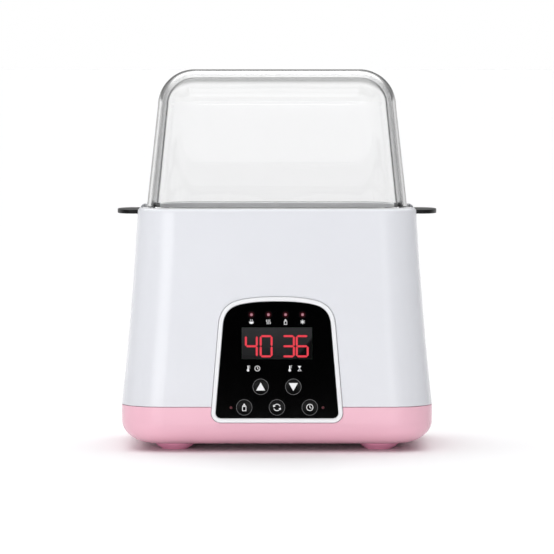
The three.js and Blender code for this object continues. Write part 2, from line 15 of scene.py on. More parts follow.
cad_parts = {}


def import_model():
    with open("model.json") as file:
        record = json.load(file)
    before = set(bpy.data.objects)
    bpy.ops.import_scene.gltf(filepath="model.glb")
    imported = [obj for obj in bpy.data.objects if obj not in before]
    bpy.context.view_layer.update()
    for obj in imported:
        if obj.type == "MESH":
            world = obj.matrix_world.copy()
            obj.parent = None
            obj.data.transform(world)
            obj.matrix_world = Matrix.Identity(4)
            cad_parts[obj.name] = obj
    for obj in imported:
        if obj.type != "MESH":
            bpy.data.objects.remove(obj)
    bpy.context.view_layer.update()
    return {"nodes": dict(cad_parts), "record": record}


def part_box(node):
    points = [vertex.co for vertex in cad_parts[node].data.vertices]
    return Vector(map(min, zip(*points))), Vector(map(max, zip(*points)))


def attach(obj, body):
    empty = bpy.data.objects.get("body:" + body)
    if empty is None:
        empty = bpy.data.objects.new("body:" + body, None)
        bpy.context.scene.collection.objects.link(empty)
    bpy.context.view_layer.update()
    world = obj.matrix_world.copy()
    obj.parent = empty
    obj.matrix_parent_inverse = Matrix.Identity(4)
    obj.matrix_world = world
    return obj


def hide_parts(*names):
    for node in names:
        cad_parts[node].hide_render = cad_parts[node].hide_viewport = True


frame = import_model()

# ---------------------------------------------------------------- driving dimensions

MM = 0.001
Plan = namedtuple("Plan", "a b r")  # half width along X, half depth along Y, radius of the corners

GAP = 0.3  # air between two pieces that touch
WALL = 2.5
EDGE = 0.4  # small rounding where two mouldings meet
UNDERSIDE_Z = 4.5
SEAM_Z = 31
RIM_Z = 164
TOP_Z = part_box("clear_cover")[1].z / MM

SEAM_PLAN = Plan(105.5, 75, 30)
RIM_PLAN = Plan(94.7, 63.5, 27)
SIDE_SAG = 1
RIM_LIP = 2.4
BASE_IN, BASE_UP = 21, 15.5

COVER_FOOT_PLAN = Plan(88.9, 58, 29)
COVER_SHOULDER_PLAN = Plan(81.4, 50.5, 27)
COVER_FILLET = 25
COVER_WALL = 2.4
SHOULDER_Z = TOP_Z - COVER_FILLET

TANK_RIM_PLAN = Plan(85.8, 54.8, 25)
TANK_FLOOR_PLAN = Plan(80, 49, 21)
TANK_FLOOR_Z = 48
TANK_WALL = 2
PLATE_R = 39.2

WELL_X, WELL_R, DRAIN_R = 41, 38, 22
BASKET_TOP_PLAN = Plan(82.4, 51.8, 24)
BASKET_FLOOR_PLAN = Plan(76.5, 46, 20)
BASKET_TOP_Z, BASKET_FLOOR_Z, BASKET_PLATE = 148.5, 58.5, 2.5
BASKET_POSTS = [(x, y) for x in (-69, 69) for y in (-35.5, 35.5)] + [(0, -37), (0, 37)]
EAR_ROOT, EAR_GRIP, EAR_HALF, EAR_REACH = 81.6, 95.3, 24, 109.8
EAR_TOP, EAR_PLATE, EAR_SKIRT, EAR_RIM = 162, 1.8, 2.6, 2.2

PANEL_FOOT_Z = 20.4
PANEL_TILT = math.atan((SEAM_PLAN.b - RIM_PLAN.b) / (RIM_Z - SEAM_Z))
BEZEL_WIDTH, BEZEL_FRONT = 2.9, 1.5
LENS_FRONT, LENS_BACK = 0.9, -0.9
WINDOW_FRONT = 0.8
LAMP_R = 0.9
LIGHT_GUIDE_MARGIN = 2  # from the guide's end to the middle of its last lamp
BUTTON_R, BUTTON_FRONT, BUTTON_DISH = 5.7, 1.2, 0.12
INK = 0.05  # thickness of printed marks
PEN = 0.36  # width of their lines

CORNER_STEPS = 22

TENT_LOW, TENT_TOP = 1.0, 2.0  # brightness of the tent near the floor and overhead
FLAG_INNER, FLAG_OUTER = math.cos(0.25), math.cos(0.42)  # cosines of the black flag's angular radii
SIDE_TENT = 0.12  # the tent's brightness at either side, as a share of the rest
FRONT_TENT = 0.18  # the same in front
BACK_BAND = 0.25  # the same for the raised band behind

# ---------------------------------------------------------------- points and profiles


def spread(first, last, count):
    """count values from first to last, both included."""
    return [first + (last - first) * i / (count - 1) for i in range(count)]


def mix(p, q, t):
    return Plan(*(u + (v - u) * t for u, v in zip(p, q)))


def shrink(plan, by):
    return Plan(plan.a - by, plan.b - by, max(plan.r - by, 0.5))


def housing_plan(z):
    t = (z - SEAM_Z) / (RIM_Z - SEAM_Z)
    plan = mix(SEAM_PLAN, RIM_PLAN, t)
    return plan._replace(a=plan.a - 4 * SIDE_SAG * t * (1 - t))


def tank_plan(z):
    return mix(TANK_FLOOR_PLAN, TANK_RIM_PLAN, (z - TANK_FLOOR_Z) / (RIM_Z - TANK_FLOOR_Z))


def cover_plan(z):
    """The plan leans in up to the shoulder, and the rounding above it starts from the shoulder's plan."""
    return mix(COVER_FOOT_PLAN, COVER_SHOULDER_PLAN, min((z - RIM_Z) / (SHOULDER_Z - RIM_Z), 1))


def ring(plan, z):
    """Counter-clockwise rounded rectangle at height z."""
    points = []
    for quarter in range(4):
        right = 1 if quarter in (0, 3) else -1
        back = 1 if quarter < 2 else -1
        for i in range(CORNER_STEPS + 1):
            angle = (quarter + i / CORNER_STEPS) * math.pi / 2
            x = right * (plan.a - plan.r) + plan.r * math.cos(angle)
            y = back * (plan.b - plan.r) + plan.r * math.sin(angle)
            points.append((x, y, z))
    return points


def rings_of(plan_at, profile):
    """Rings from (inset, z) pairs, each inset from the plan at its own height."""
    return [ring(shrink(plan_at(z), inset), z) for inset, z in profile]


def circle(radius, z=0, x=0, y=0, steps=64):
    turn = 2 * math.pi / steps
    return [(x + radius * math.cos(i * turn), y + radius * math.sin(i * turn), z) for i in range(steps)]


def arc(centre, radius, first, last, steps=8):
    """2D points along an arc, its angles in degrees. radius may be a pair, one for each axis."""
    across, up = radius if isinstance(radius, tuple) else (radius, radius)
    angles = [math.radians(degrees) for degrees in spread(first, last, steps + 1)]
    return [(centre[0] + across * math.cos(t), centre[1] + up * math.sin(t)) for t in angles]


def rounding(radius, z, first, last, steps=5):
    """(inset, z) pairs along the rounding of an outer edge whose centre is at height z."""
    return [(radius - x, z + y) for x, y in arc((0, 0), radius, first, last, steps)]


def bezier(p, q, r, s, steps=14):
    """2D points of a cubic curve from just after p to s."""
    curve = interpolate_bezier(*(Vector((*point, 0)) for point in (p, q, r, s)), steps + 1)
    return [(point.x, point.y) for point in curve[1:]]


def offset_points(points, distance, closed=True):
    """2D points moved to the left of their path by a distance."""
    moved = []
    last = len(points) - 1
    for i, point in enumerate(points):
        here = Vector(point)
        before = Vector(points[i - 1]) if closed or i > 0 else None
        after = Vector(points[(i + 1) % len(points)]) if closed or i < last else None
        u = (here - before).normalized() if before else (after - here).normalized()
        v = (after - here).normalized() if after else u
        left = Vector((-u.y - v.y, u.x + v.x)).normalized()
        stretch = 1 / max(left.dot(Vector((-u.y, u.x))), 0.5)
        moved.append(tuple(here + left * distance * stretch))
    return moved


# ---------------------------------------------------------------- meshes


def add_object(name, vertices, faces, place=None, sharp=35):
    """A smooth shaded object. vertices and the matrix place are in millimetres."""
    mesh = bpy.data.meshes.new(name)
    place = place or Matrix.Identity(4)
    mesh.from_pydata([place @ Vector(v) * MM for v in vertices], [], faces)
    obj = bpy.data.objects.new(name, mesh)
    bpy.context.scene.collection.objects.link(obj)
    shade(obj, sharp)
    return obj


def shade(obj, sharp=35):
    """Smooth shading that keeps edges over an angle sharp."""
    obj.data.polygons.foreach_set("use_smooth", [True] * len(obj.data.polygons))
    obj.data.set_sharp_from_angle(angle=math.radians(sharp))


def loft(name, rings, closed=False, place=None, sharp=35):
    """Skin through rings of equal length. Its open ends get flat caps."""
    n = len(rings[0])
    faces = []
    for k in range(len(rings) if closed else len(rings) - 1):
        low, high = k * n, (k + 1) % len(rings) * n
        faces += [(low + i, low + (i + 1) % n, high + (i + 1) % n, high + i) for i in range(n)]
    if not closed:
        last = (len(rings) - 1) * n
        faces += [tuple(reversed(range(n))), tuple(range(last, last + n))]
    return add_object(name, [point for r in rings for point in r], faces, place, sharp)


def revolve(name, profile, steps=64, place=None, sharp=35):
    """Solid of revolution about Z. The profile starts and ends on the axis, with the solid on its left."""
    rings = [circle(radius, z, steps=steps) for radius, z in profile[1:-1]]
    n, count = steps, len(rings)
    faces = []
    for low in range(0, (count - 1) * n, n):
        faces += [(low + i, low + (i + 1) % n, low + n + (i + 1) % n, low + n + i) for i in range(n)]
    bottom, top, last = count * n, count * n + 1, (count - 1) * n
    faces += [(bottom, (i + 1) % n, i) for i in range(n)]
    faces += [(last + i, last + (i + 1) % n, top) for i in range(n)]
    ends = [(0, 0, profile[0][1]), (0, 0, profile[-1][1])]
    return add_object(name, [point for r in rings for point in r] + ends, faces, place, sharp)


def turned_ring(name, profile, steps=64, place=None, sharp=35):
    """Ring turned about Z from a profile that closes on itself."""
    return loft(name, [circle(radius, z, steps=steps) for radius, z in profile], True, place, sharp)


def prism(name, outline, low, high, place=None):
    """Straight extrusion of a 2D outline from height low to high."""
    return loft(name, [[(x, y, z) for x, y in outline] for z in (low, high)], place=place)


def cylinder(name, radius, low, high, x=0, y=0, steps=48, place=None):
    return loft(name, [circle(radius, z, x, y, steps) for z in (low, high)], place=place)


def block(name, x0, x1, y0, y1, z0, z1):
    return prism(name, [(x0, y0), (x1, y0), (x1, y1), (x0, y1)], z0, z1)


def apply_modifiers(obj):
    evaluated = obj.evaluated_get(bpy.context.evaluated_depsgraph_get())
    mesh = bpy.data.meshes.new_from_object(evaluated)
    obj.modifiers.clear()
    obj.data = mesh


def combine(obj, add=(), cut=(), sharp=35):
    """Joins solids to obj and cuts others from it. The solids are used up."""
    for tools, operation in ((add, "UNION"), (cut, "DIFFERENCE")):
        for tool in tools:
            boolean = obj.modifiers.new(operation.lower(), "BOOLEAN")
            boolean.operation = operation
            boolean.object = tool
            apply_modifiers(obj)
            bpy.data.objects.remove(tool)
    shade(obj, sharp)
    return obj


def merge(name, objects):
    """One object that holds the separate solids of several."""
    first = objects[0]
    chosen = {"active_object": first, "object": first}
    with bpy.context.temp_override(selected_objects=objects, selected_editable_objects=objects, **chosen):
        bpy.ops.object.join()
    first.name = name
    return first


def flat_normals(obj):
    """Lets the large flat faces set the normals of the roundings beside them."""
    weigh = obj.modifiers.new("weighted_normals", "WEIGHTED_NORMAL")
    weigh.keep_sharp = True
    return obj


def round_edges(obj, width, angle=40, segments=3):
    bevel = obj.modifiers.new("rounded_edges", "BEVEL")
    bevel.width = width * MM
    bevel.segments = segments
    bevel.limit_method = "ANGLE"
    bevel.angle_limit = math.radians(angle)
    bevel.harden_normals = True
    return obj


# ---------------------------------------------------------------- node trees


class Graph:
    """Short calls that build a node tree."""

    def __init__(self, tree):
        self.tree = tree

    def add(self, kind, settings=(), **inputs):
        """A node with its settings, and with its inputs set to a value or linked to an output."""
        node = self.tree.nodes.new("ShaderNode" + kind)
        for name, value in dict(settings).items():
            setattr(node, name, value)
        for name, value in inputs.items():
            self.feed(node.inputs[name.replace("_", " ")], value)
        return node

    def feed(self, socket, value):
        if isinstance(value, bpy.types.NodeSocket):
            self.tree.links.new(value, socket)
        else:
            socket.default_value = value

    def math(self, operation, first, second=0.0):
        node = self.add("Math", {"operation": operation})
        self.feed(node.inputs[0], first)
        self.feed(node.inputs[1], second)
        return node.outputs[0]

    def remap(self, value, from_low, from_high, to_low, to_high, smooth=False):
        """value between two limits brought to between two others, and held there beyond them."""
        node = self.add("MapRange", {"interpolation_type": "SMOOTHSTEP" if smooth else "LINEAR"})
        for socket, number in zip(node.inputs, (value, from_low, from_high, to_low, to_high)):
            self.feed(socket, number)
        return node.outputs[0]

    def axes(self, vector):
        return self.add("SeparateXYZ", Vector=vector).outputs


class Finish(Graph):
    """One material, made round a Principled shader."""

    def __init__(self, name, color, roughness, **constants):
        self.material = bpy.data.materials.new(name)
        self.material.use_nodes = True
        super().__init__(self.material.node_tree)
        self.shader = self.tree.nodes["Principled BSDF"].inputs
        self.color, self.roughness = color, roughness
        self.shader["Base Color"].default_value = (*color, 1)
        self.shader["Roughness"].default_value = roughness
        for socket, value in constants.items():
            self.shader[socket.replace("_", " ")].default_value = value
        self.place = self.add("TexCoord").outputs["Object"]

    def noise(self, scale, detail=3.0, stretch=(1, 1, 1)):
        """Noise between about 0.3 and 0.7. scale counts features in a metre."""
        mapping = self.add("Mapping", Vector=self.place, Scale=stretch)
        return self.add("TexNoise", Vector=mapping.outputs[0], Scale=scale, Detail=detail).outputs[0]

    def spread_noise(self, scale, low, high, **options):
        return self.remap(self.noise(scale, **options), 0.2, 0.8, low, high)

    def blend(self, factor, first, second, socket="Base Color"):
        node = self.add("Mix", {"data_type": "RGBA"})
        colors = [s for s in node.inputs if s.type == "RGBA"]
        self.feed(node.inputs[0], factor)
        self.feed(colors[0], (*first, 1))
        self.feed(colors[1], (*second, 1))
        result = [s for s in node.outputs if s.type == "RGBA"][0]
        self.feed(self.shader[socket], result)
        return self

    def uneven(self, scale, amount):
        """The base colour, lighter and darker by a fraction."""
        shades = (tinted(self.color, 1 - amount), tinted(self.color, 1 + amount))
        return self.blend(self.spread_noise(scale, 0, 1), *shades)

    def smudged(self, scale, low, high):
        """Roughness that wanders between two multiples of its own value."""
        wander = self.spread_noise(scale, self.roughness * low, self.roughness * high)
        self.feed(self.shader["Roughness"], wander)
        return self

    def bump(self, height, strength, depth):
        """Relief of a depth in metres, on top of any relief there already is."""
        node = self.add("Bump", Height=height, Strength=strength, Distance=depth)
        normal = self.shader["Normal"]
        if normal.is_linked:
            self.feed(node.inputs["Normal"], normal.links[0].from_socket)
        self.feed(normal, node.outputs[0])
        return self


def tinted(color, factor):
    return tuple(min(channel * factor, 1) for channel in color)


# ---------------------------------------------------------------- materials

PLASTIC_IOR = 1.46


def moulded(name, color, roughness, tone=0.02, ripple=0.1, grain=0.0, **constants):
    """Moulded plastic: faintly uneven tone and gloss, a soft ripple, and grain where it is textured."""
    finish = Finish(name, color, roughness, **constants)
    finish.uneven(14, tone).smudged(55, 0.95, 1.06)
    finish.bump(finish.noise(35, detail=1), ripple, 0.0002)
    if grain:
        finish.bump(finish.noise(2600, detail=2), grain, 0.0001)
    return finish.material


def rubber(name, color):
    return moulded(name, color, 0.5, tone=0.05, grain=0.35, Specular_IOR_Level=0.35)


def gloss_black(name, roughness, **constants):
    """Polished black, as on a lens: hardly uneven, so that it reflects cleanly."""
    return moulded(name, (0.0004, 0.0004, 0.0005), roughness, tone=0.15, ripple=0.02, **constants)


def clear_plastic(name):
    """Polished clear moulding, with painted shade that turns a wall dark where it is seen edge on. Its flat
    top stays clear.
    """
    finish = Finish(name, (1, 1, 1), 0.0, Transmission_Weight=1.0, IOR=PLASTIC_IOR)
    facing = finish.add("LayerWeight", Blend=0.5).outputs["Facing"]
    up = finish.axes(finish.add("NewGeometry").outputs["Normal"])[2]
    wall = finish.remap(finish.math("ABSOLUTE", up), 0.93, 0.995, 1, 0.1)
    # painted shade: a wall seen edge on is coloured nearly black, in place of the dark edges that refraction
    # gives
    edge = finish.math("MULTIPLY", finish.remap(facing, 0.62, 0.84, 0, 1), wall)
    finish.blend(edge, (1, 1, 1), (0.008, 0.0085, 0.009))
    finish.bump(finish.noise(18, detail=1), 0.06, 0.0002)
    tint = finish.add("VolumeAbsorption", Color=(0.4, 0.43, 0.45, 1), Density=12.0)
    finish.feed(finish.tree.nodes["Material Output"].inputs["Volume"], tint.outputs[0])
    return finish.material


def lit(name, color, strength, core=None):
    """A lit figure or lamp, whose light is slightly uneven."""
    finish = Finish(name, tinted(color, 0.4), 0.3, Emission_Strength=strength)
    bright = core or tinted(color, 1.15)
    finish.blend(finish.spread_noise(900, 0, 1), tinted(color, 0.85), bright, "Emission Color")
    return finish.material


def glow(name, color, strength, radius):
    """Dark lens lit from behind, brightest at the piece's own origin. radius is in metres."""
    finish = Finish(name, (0.0035, 0.0035, 0.004), 0.07)
    away = finish.add("VectorMath", {"operation": "LENGTH"})
    finish.feed(away.inputs[0], finish.place)
    fade = finish.remap(away.outputs["Value"], 0, radius, 1, 0)
    finish.shader["Emission Color"].default_value = (*color, 1)
    level = finish.math("MULTIPLY", finish.math("POWER", fade, 2), strength)
    finish.feed(finish.shader["Emission Strength"], level)
    return finish.material


def rolled_steel(name, color):
    finish = Finish(name, color, 0.3, Metallic=1.0).uneven(60, 0.06)
    lines = finish.noise(220, detail=4, stretch=(1, 14, 14))
    finish.feed(finish.shader["Roughness"], finish.remap(lines, 0.3, 0.7, 0.24, 0.42))
    return finish.bump(lines, 0.12, 0.0001).material


def spun_steel(name, color):
    """Steel with the fine turned rings of a plate that was spun about Z."""
    finish = Finish(name, color, 0.3, Metallic=1.0).uneven(40, 0.05)
    kind = {"wave_type": "RINGS", "rings_direction": "Z"}
    rings = finish.add("TexWave", kind, Vector=finish.place, Scale=420, Distortion=1.5).outputs["Fac"]
    finish.feed(finish.shader["Roughness"], finish.remap(rings, 0, 1, 0.22, 0.38))
    return finish.bump(rings, 0.12, 0.0001).material


def circuit_board(name):
    """Green board with slightly raised tracks under its lacquer."""
    finish = Finish(name, (0.02, 0.16, 0.07), 0.35)
    tracks = finish.add("TexBrick", Vector=finish.place, Scale=120).outputs["Fac"]
    finish.blend(tracks, (0.015, 0.13, 0.055), (0.03, 0.24, 0.1))
    return finish.bump(tracks, 0.2, 0.0001).material


def smoked_window(name):
    """Smoked display window with a painted reflection on it: paler towards its top, and clear of the painted
    reflection beyond a slanting line at its lower right.
    """
    finish = Finish(name, (0.03, 0.03, 0.032), 0.1)
    low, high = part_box("display_window")
    x, _, z = finish.axes(finish.place)
    across = finish.remap(x, low.x, high.x, 0, 1)
    up = finish.remap(z, low.z, high.z, 0, 1)
    slant = finish.math("SUBTRACT", across, finish.math("MULTIPLY", up, 0.36))
    # painted reflection: a lighter grey towards the top, cut off along a slant at the lower right
    painted_reflection = finish.math("MULTIPLY", finish.remap(up, 0, 1, 0.35, 1), finish.remap(slant, 0.74, 0.78, 1, 0.05))
    finish.blend(painted_reflection, (0.0012, 0.0012, 0.0014), (0.03, 0.0305, 0.032))
    return finish.bump(finish.noise(40, detail=1), 0.03, 0.0001).material


HOUSING_WHITE = (0.74, 0.75, 0.79)
BASE_PINK = (0.86, 0.49, 0.59)

MATERIALS = {
    "housing_white": moulded("housing_white", HOUSING_WHITE, 0.22, tone=0.01),
    "base_pink": moulded("base_pink", BASE_PINK, 0.24, tone=0.015),
    "foot_rose": rubber("foot_rose", (0.93, 0.4, 0.58)),
    "trim_white": moulded("trim_white", (0.85, 0.855, 0.875), 0.16, tone=0.01),
    "panel_black": gloss_black("panel_black", 0.06),
    "button_black": gloss_black("button_black", 0.25, Specular_IOR_Level=0.08),
    "print_grey": moulded("print_grey", (0.82, 0.82, 0.83), 0.5),
    "basket_black": moulded("basket_black", (0.003, 0.003, 0.0035), 0.4, tone=0.15, Specular_IOR_Level=0.15),
    "cover_clear": clear_plastic("cover_clear"),
    "display_smoke": smoked_window("display_smoke"),
    "display_lit": lit("display_lit", (0.66, 0.01, 0.03), 0.78),
    "lamp_red": lit("lamp_red", (0.4, 0.1, 0.15), 0.6, core=(0.6, 0.38, 0.42)),
    "tank_white": moulded("tank_white", (0.74, 0.745, 0.76), 0.4, grain=0.1),
    "plate_steel": spun_steel("plate_steel", (0.66, 0.66, 0.67)),
    "seal_silicone": rubber("seal_silicone", (0.6, 0.57, 0.52)),
    "gland_black": rubber("gland_black", (0.02, 0.02, 0.022)),
    "block_aluminium": rolled_steel("block_aluminium", (0.55, 0.55, 0.56)),
    "screw_steel": rolled_steel("screw_steel", (0.6, 0.6, 0.61)),
    "board_green": circuit_board("board_green"),
    "part_dark": moulded("part_dark", (0.02, 0.02, 0.022), 0.45, tone=0.1, grain=0.2),
    "tape_yellow": moulded("tape_yellow", (0.62, 0.42, 0.05), 0.35, tone=0.08),
    "capacitor_blue": moulded("capacitor_blue", (0.03, 0.09, 0.3), 0.3, tone=0.08),
    "wire_brown": moulded("wire_brown", (0.11, 0.045, 0.02), 0.4, tone=0.05),
    "wire_blue": moulded("wire_blue", (0.02, 0.08, 0.33), 0.4, tone=0.05),
    "ribbon_grey": moulded("ribbon_grey", (0.36, 0.36, 0.37), 0.45, tone=0.04),
}
GLOW_R = 2.6  # radius of the light round an indicator lamp
LAMP_GLOW = glow("lamp_glow", (0.8, 0.02, 0.06), 0.2, GLOW_R * MM)
DIM_LAMP = lit("dim_lamp", (0.1, 0.005, 0.014), 0.4)
# dark grey for the thin ring near each button's edge
DIM_RING_GREY = moulded("dim_ring_grey", (0.16, 0.16, 0.165), 0.5)


def finish_piece(obj, body, slot, *stands_for, material=None):
    """Gives a new piece its material and its body, and hides the CAD nodes that it stands for."""
    obj.data.materials.clear()
    obj.data.materials.append(material or MATERIALS[slot])
    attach(obj, body)
    if stands_for:
        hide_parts(*stands_for)
    return obj


def paint_frame():
    """Every CAD node gets its slot's material. Those that a piece stands for are hidden later, when
    finish_piece finishes that piece.
    """
    for part in frame["record"]["subparts"]:
        node = frame["nodes"][part["node"]]
        node.data.materials.clear()
        node.data.materials.append(MATERIALS[part["material_slot"]])


# ---------------------------------------------------------------- control panel's own frame


def panel_frame():
    """X to the right, Y up the panel's slope and Z out of it, from the middle of its foot."""
    front = SEAM_PLAN.b + (SEAM_Z - PANEL_FOOT_Z) * math.tan(PANEL_TILT)
    return Matrix.Translation((0, -front, PANEL_FOOT_Z)) @ Matrix.Rotation(math.pi / 2 - PANEL_TILT, 4, "X")


def panel_outline():
    """Straight sides that lean in, round shoulders and a crowned top, counter-clockwise from the foot."""
    right = [(37.4, 0)]
    right += bezier((37.4, 0), (41.6, 0), (44.7, 3.2), (44.3, 7.5))
    right += bezier((44.3, 7.5), (42.7, 27), (41, 46.5), (39.4, 66), steps=2)
    right += bezier((39.4, 66), (38.6, 75.4), (34, 80.4), (26, 82.5))
    right += bezier((26, 82.5), (17.3, 84.57), (8.7, 84.83), (0, 84.83))
    return right + [(-x, y) for x, y in reversed(right[:-1])]


PANEL = panel_frame()
PANEL_OUTLINE = panel_outline()


def on_panel(node):
    """Middle of a CAD node, in the panel's frame."""
    low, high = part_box(node)
    middle = PANEL.inverted() @ ((low + high) / 2 / MM)
    return middle.x, middle.y


def at_panel(x, y, z=0):
    return PANEL @ Matrix.Translation((x, y, z))


def panel_ring(inset, z):
    return [(x, y, z) for x, y in offset_points(PANEL_OUTLINE, inset)]


def panel_opening():
    return loft("opening", [panel_ring(-GAP, -14), panel_ring(-GAP, 6)], place=PANEL)


# ---------------------------------------------------------------- housing and base


def ear_notches():
    """Solids that cut the notches through the rim for the basket's ears."""
    floor, half = EAR_TOP - EAR_PLATE - GAP, EAR_HALF + 1
    return [block("notch", side * 90 - 10, side * 90 + 10, -half, half, floor, RIM_Z + 5) for side in (-1, 1)]


def upper_housing():
    ledge = 161.3
    outer = rounding(EDGE, SEAM_Z + EDGE, -90, 0)
    outer += [(0, z) for z in spread(SEAM_Z + 2, RIM_Z - RIM_LIP - 1, 18)]
    outer += rounding(RIM_LIP, RIM_Z - RIM_LIP, 0, 90, 8)
    lip = [(RIM_LIP, ledge), (6, ledge), (6, ledge - 2)]
    inner = [(WALL, z) for z in spread(156, SEAM_Z, 6)]
    shell = loft("upper_housing_shell", rings_of(housing_plan, outer + lip + inner), closed=True)
    combine(shell, cut=[panel_opening(), *ear_notches()])
    finish_piece(flat_normals(shell), "housing", "housing_white", "upper_housing")


def foot_places():
    """The middle of each foot, by the name of its node."""
    names = [name for name in sorted(frame["nodes"]) if name.startswith("foot_") and "screw" not in name]
    return {name: sum(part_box(name), Vector()) / 2 / MM for name in names}


def turned_back(node):
    """Frame on the rear wall, with its Z out of the back and its origin in the middle of a node."""
    middle = sum(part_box(node), Vector()) / 2 / MM
    return Matrix.Translation((middle.x, SEAM_PLAN.b, middle.z)) @ Matrix.Rotation(-math.pi / 2, 4, "X")


def base_tray():
    """Tray with a deep elliptical rounding, and a tongue that stands up inside the housing."""
    seam, side_z = SEAM_Z - GAP, UNDERSIDE_Z + BASE_UP

    def underside(thickness, steps):
        ellipse = arc((0, side_z), (BASE_IN, BASE_UP - thickness), -90, 0, steps)
        return [(BASE_IN - x + thickness, z) for x, z in ellipse]

    outer = underside(0, 16) + [(0, z) for z in spread(side_z + 2, seam - EDGE - 0.5, 4)]
    outer += rounding(EDGE, seam - EDGE, 0, 90)
    tongue, tongue_z = WALL + 0.6, SEAM_Z + 3
    inner = [(tongue, seam), (tongue, tongue_z), (tongue + 1.8, tongue_z), (tongue + 1.8, SEAM_Z - 4)]
    inner += underside(WALL, 8)[::-1]
    shell = loft("base_tray_shell", rings_of(lambda z: SEAM_PLAN, outer + inner))
    gland_hole = cylinder("hole", 5.1, -10, 10, place=turned_back("cord_gland"))
    screw_holes = [cylinder("hole", 5.3, 0, 10, p.x, p.y) for p in foot_places().values()]
    combine(shell, cut=[panel_opening(), gland_hole, *screw_holes])
    finish_piece(flat_normals(shell), "housing", "base_pink", "base_tray")


def feet():
    """Rubber feet, each with a moulded groove round its side and a recess for its screw."""
    top = UNDERSIDE_Z - GAP
    side = [(4.6, 0), (8.6, 0)] + arc((8.6, 0.7), 0.7, -90, -45, 3)[1:] + [(10.4, 1.5), (10.9, 1.7)]
    side += [(11.2, 1.5), (12.2, 2.4), (13.1, 3.3), (13.4, top - 0.4), (13.3, top), (5, top)]
    spigot = [(5, 6.8), (2.1, 6.8), (2.1, 2.8), (4.6, 2.8)]
    for name, place in foot_places().items():
        at = Matrix.Translation((place.x, place.y, 0))
        foot = turned_ring(f"{name}_rubber", side + spigot, place=at, sharp=50)
        finish_piece(foot, "housing", "foot_rose", name)
        foot_screw(name.replace("foot", "foot_screw"), place)


def foot_screw(name, place):
    """Pan-head screw with a cross recess, head down."""
    head = [(0, -1.9)] + arc((2.6, -0.5), 1.4, -90, 0, 5)
    shank = [(4, 0), (1.7, 0), (1.7, 20), (0.6, 22), (0, 22)]
    screw = revolve(f"{name}_cross", head + shank, 40, Matrix.Translation((place.x, place.y, 2.5)))
    for a, b in ((0.4, 2.1), (2.1, 0.4)):
        slot = block("slot", place.x - a, place.x + a, place.y - b, place.y + b, -1, 1.5)
        combine(screw, cut=[slot])
    finish_piece(screw, "housing", "screw_steel", name)


def cord_gland():
    profile = [(3.6, -6), (4.8, -6), (4.8, GAP), (6.2, GAP), (6.2, 1.7)]
    profile += arc((5.5, 1.7), 0.7, 0, 90, 5)[1:] + arc((4.2, 1.8), 0.6, 90, 180, 5)
    gland = turned_ring("cord_gland_bush", profile, place=turned_back("cord_gland"))
    finish_piece(gland, "housing", "gland_black", "cord_gland")


# ---------------------------------------------------------------- tank and heating plate


def water_tank():
    """Tank hung from a flat flange, on which the cover stands, with a hole for the heating plate."""
    flange, flange_z = shrink(RIM_PLAN, RIM_LIP + GAP), 161.6
    edge = 0.5
    rings = [ring(shrink(TANK_FLOOR_PLAN, 1), TANK_FLOOR_Z - 2.5)]
    rings += [ring(shrink(tank_plan(z), -TANK_WALL), z) for z in spread(51, flange_z, 5)]
    rings += [ring(flange, flange_z)]
    rings += rings_of(lambda z: flange, rounding(edge, RIM_Z - edge, 0, 90, 4))
    rings += rings_of(lambda z: TANK_RIM_PLAN, [(-x, z) for x, z in rounding(edge, RIM_Z - edge, 90, 0, 4)])
    rings += [ring(tank_plan(z), z) for z in spread(160, 54, 6)]
    corner = rounding(4, TANK_FLOOR_Z + 4, 0, -90, 8)
    rings += rings_of(lambda z: TANK_FLOOR_PLAN, corner)
    tank = loft("water_tank_shell", rings)
    plate_hole = cylinder("hole", PLATE_R + 0.6, 40, 50, steps=96)
    combine(tank, cut=[plate_hole, *ear_notches()])
    finish_piece(flat_normals(tank), "housing", "tank_white", "water_tank")


def heating_plate():
    """Spun pan with a rounded shoulder and two shallow rings pressed into its face."""
    face = TANK_FLOOR_Z - 0.8
    profile = [(0, face - 1.2), (PLATE_R - 1.2, face - 1.2), (PLATE_R - 1.2, 42.2), (46, 42.2)]
    profile += [(46, 43.4), (PLATE_R, 43.4)] + arc((PLATE_R - 0.9, face - 0.9), 0.9, 0, 90, 6)
    for radius in (30, 14):
        profile += [(radius + 1.2, face), (radius + 0.7, face - 0.35)]
        profile += [(radius - 0.7, face - 0.35), (radius - 1.2, face)]
    plate = revolve("heating_plate_pan", profile + [(0, face)], 96)
    finish_piece(plate, "housing", "plate_steel", "heating_plate")


# ---------------------------------------------------------------- lift-out basket and cover


def ear_outline(start, inset):
    """One ear's outline, on the side x > 0, from x = start and moved in by inset."""
    half, reach, bend = EAR_HALF - inset, EAR_REACH - inset, EAR_REACH - 11
    outline = [(start, -half), (bend, -half)]
    outline += bezier((bend, -half), (reach - 2, -half), (reach, -9), (reach, 0))
    outline += bezier((reach, 0), (reach, 9), (reach - 2, half), (bend, half))
    return outline + [(start, half)]


def ear():
    """An arm up from the basket, a tab across the rim, a skirted grip, and a ridge that centres the cover."""
    low, high = BASKET_TOP_Z - BASKET_PLATE, EAR_TOP - 0.5
    tab = prism("tab", ear_outline(EAR_ROOT, 0), EAR_TOP - EAR_PLATE, EAR_TOP)
    grip = prism("grip", ear_outline(EAR_GRIP, 0), EAR_TOP - EAR_SKIRT, high)
    arm = block("arm", EAR_ROOT, EAR_ROOT + 2.6, -EAR_HALF, EAR_HALF, low, high)
    ridge = block("ridge", EAR_ROOT + 1.8, EAR_ROOT + 4, 4 - EAR_HALF, EAR_HALF - 4, high, RIM_Z + 1.4)
    hollow = prism("hollow", ear_outline(EAR_GRIP + EAR_RIM, EAR_RIM), 150, EAR_TOP - EAR_PLATE)
    return combine(tab, add=[grip, arm, ridge], cut=[hollow])


